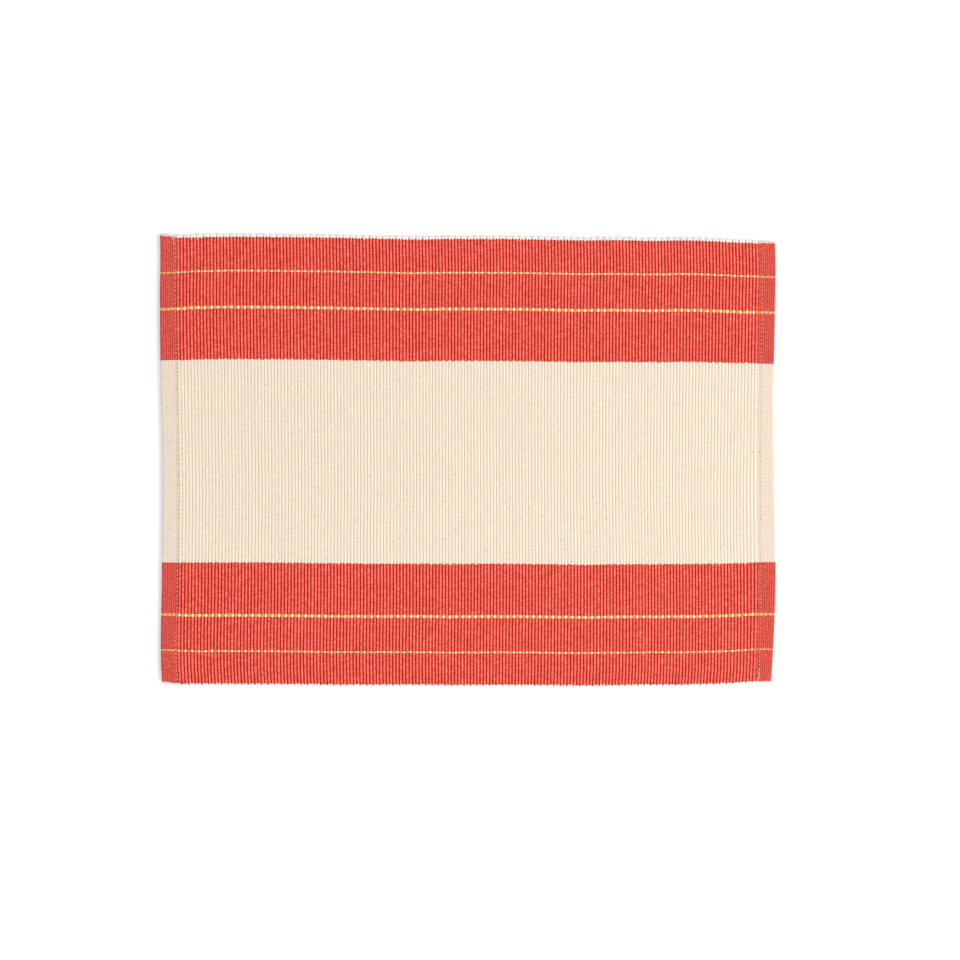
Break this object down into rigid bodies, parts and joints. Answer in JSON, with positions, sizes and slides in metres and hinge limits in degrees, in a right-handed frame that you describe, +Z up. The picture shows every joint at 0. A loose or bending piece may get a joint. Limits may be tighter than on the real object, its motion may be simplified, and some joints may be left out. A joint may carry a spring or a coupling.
{
  "type": "fabric placemat",
  "caption": "Flat rectangular place mat of ribbed cotton, cream with red side bands and thin yellow and white stripes, and stitched hems at its ends.",
  "frame": {"origin": "centre of the mat's outline, on the flat underside that it rests on", "axes": "+X along the long side, +Y across the mat from its front edge to its back edge, +Z up out of its face"},
  "size_m": [0.4518, 0.3326, 0.0024],
  "materials": {
    "banded_cotton": "matt warp-faced cotton rib with brick-red bands (0.74, 0.1, 0.065) along both long sides and an undyed cream middle (0.88, 0.79, 0.63), darker in the grooves between ribs, with small brown seed flecks in the cream",
    "cream_weft": "thick, softly spun undyed cotton weft, seen where it turns back at the long edges",
    "white_yarn": "soft white cotton yarn, slightly fuzzy",
    "yellow_yarn": "golden yellow cotton yarn, slightly fuzzy",
    "hem_thread": "thin twisted cream sewing thread"
  },
  "bodies": {
    "root": {"placemat": "banded_cotton"}
  },
  "joints": []
}
